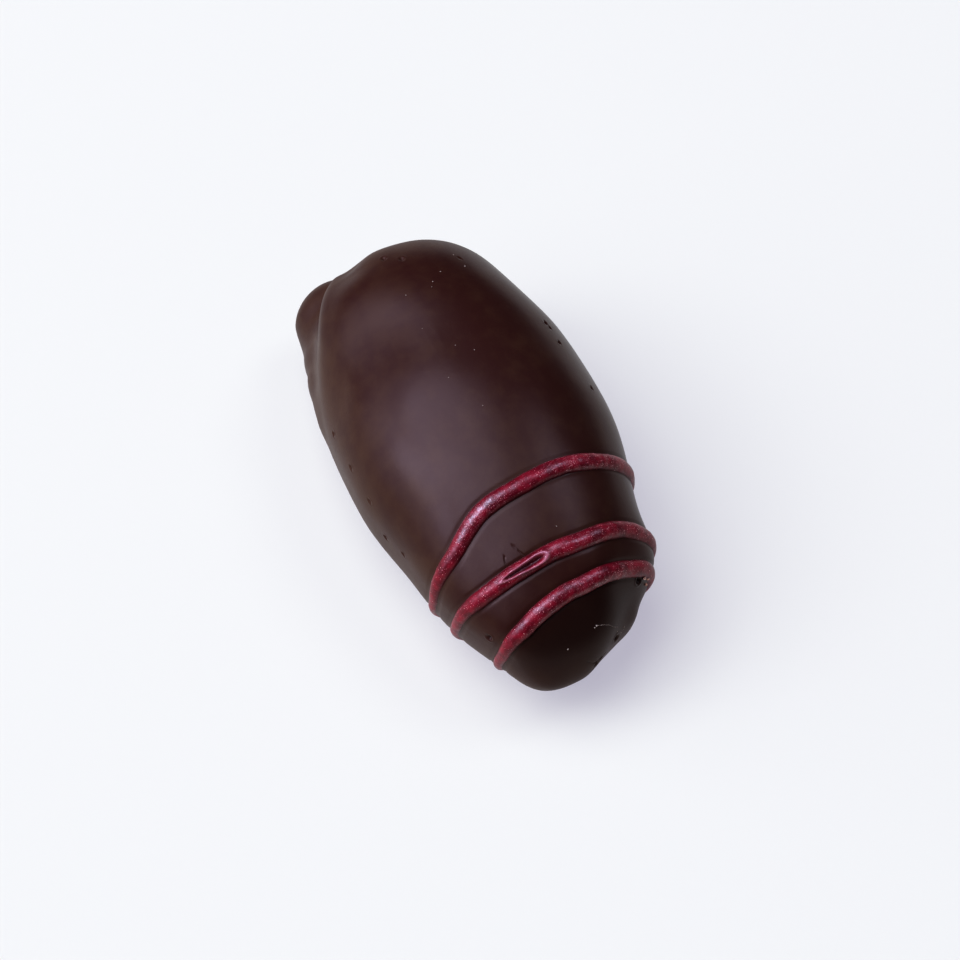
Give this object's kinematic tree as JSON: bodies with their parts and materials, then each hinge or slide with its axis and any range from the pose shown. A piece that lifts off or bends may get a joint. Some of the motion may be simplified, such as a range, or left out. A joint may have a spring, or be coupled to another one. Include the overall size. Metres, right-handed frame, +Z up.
{
  "type": "chocolate-covered date",
  "caption": "Whole date coated in dark chocolate, blunt at the head and tapered at the tail, with thin red piped lines across the tail and a flat base to rest on.",
  "frame": {"origin": "middle of the flat base's level, under the centre of the date's bounding box", "axes": "+X along the date from its blunt head to its tapered tail, +Y across it to the far side, away from the knob, +Z up"},
  "size_m": [0.0506, 0.026, 0.0196],
  "materials": {
    "dark_chocolate": "tempered dark chocolate with a soft satin gloss",
    "red_icing": "burgundy coloured chocolate with a pearl dust",
    "pearl_dust": "fine pale pearl flecks"
  },
  "bodies": {
    "root": {"coated_date": "dark_chocolate"}
  },
  "joints": []
}
